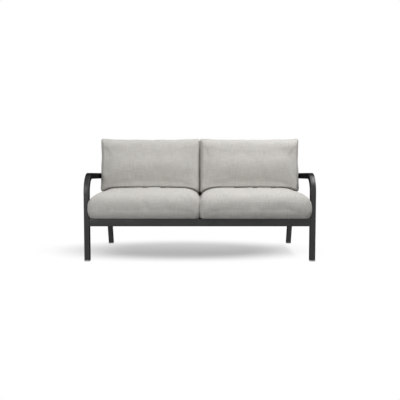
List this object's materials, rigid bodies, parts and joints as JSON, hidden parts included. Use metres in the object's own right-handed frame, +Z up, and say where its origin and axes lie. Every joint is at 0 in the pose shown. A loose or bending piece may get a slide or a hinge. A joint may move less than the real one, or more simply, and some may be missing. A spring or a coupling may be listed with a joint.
{
  "type": "patio loveseat",
  "caption": "Low two-seat outdoor sofa: dark bent-tube arms, raked rear legs, slatted deck and thick loose cushions.",
  "frame": {"origin": "on the floor, in the middle of the overall width and depth", "axes": "+X along the seat to the sitter's left when seen from the front (the picture's right), -Y to the front, +Z up"},
  "size_m": [1.4524, 0.8777, 0.7823],
  "materials": {
    "frame_coating": "satin",
    "black_plastic": "matte",
    "grey_plastic": "matte",
    "steel": "satin",
    "cover_fabric": "matte",
    "foam": "matte",
    "zip": "matte"
  },
  "bodies": {
    "frame": {"left_arm_tube": "frame_coating", "left_rear_leg": "frame_coating", "left_back_upright": "frame_coating", "left_side_rail": "frame_coating", "left_rail_end_plate": "frame_coating", "right_arm_tube": "frame_coating", "right_rear_leg": "frame_coating", "right_back_upright": "frame_coating", "right_side_rail": "frame_coating", "right_rail_end_plate": "frame_coating", "front_rail": "frame_coating", "rear_rail": "frame_coating", "centre_bearer": "frame_coating", "seat_slat_1": "frame_coating", "seat_slat_2": "frame_coating", "seat_slat_3": "frame_coating", "seat_slat_4": "frame_coating", "seat_slat_5": "frame_coating", "seat_slat_6": "frame_coating", "seat_slat_7": "frame_coating", "back_bottom_rail": "frame_coating", "back_top_rail": "frame_coating", "back_slat_1": "frame_coating", "back_slat_2": "frame_coating", "back_slat_3": "frame_coating", "back_slat_4": "frame_coating", "back_slat_5": "frame_coating", "back_slat_6": "frame_coating", "back_slat_7": "frame_coating", "back_slat_8": "frame_coating", "back_slat_9": "frame_coating", "left_arm_end_cap": "black_plastic", "left_upright_cap": "black_plastic", "right_arm_end_cap": "black_plastic", "right_upright_cap": "black_plastic", "bolt_caps": "black_plastic", "left_front_glide": "grey_plastic", "left_rear_glide": "grey_plastic", "right_front_glide": "grey_plastic", "right_rear_glide": "grey_plastic", "frame_bolts": "steel", "bolt_washers": "steel", "weld_nuts": "steel"},
    "left_seat_cushion": {"left_seat_cover": "cover_fabric", "left_seat_foam": "foam", "left_seat_zip": "zip"},
    "left_back_cushion": {"left_back_cover": "cover_fabric", "left_back_foam": "foam", "left_back_zip": "zip"},
    "right_seat_cushion": {"right_seat_cover": "cover_fabric", "right_seat_foam": "foam", "right_seat_zip": "zip"},
    "right_back_cushion": {"right_back_cover": "cover_fabric", "right_back_foam": "foam", "right_back_zip": "zip"}
  },
  "joints": [
    {"name": "left_seat_slide", "type": "slide", "parent": "frame", "child": "left_seat_cushion", "axis": [0, -1, 0], "range_m": [0, 0.6]},
    {"name": "left_back_lift", "type": "slide", "parent": "frame", "child": "left_back_cushion", "axis": [0, 0.2554, 0.9668], "range_m": [0, 0.4]},
    {"name": "right_seat_slide", "type": "slide", "parent": "frame", "child": "right_seat_cushion", "axis": [0, -1, 0], "range_m": [0, 0.6]},
    {"name": "right_back_lift", "type": "slide", "parent": "frame", "child": "right_back_cushion", "axis": [0, 0.2554, 0.9668], "range_m": [0, 0.4]}
  ]
}
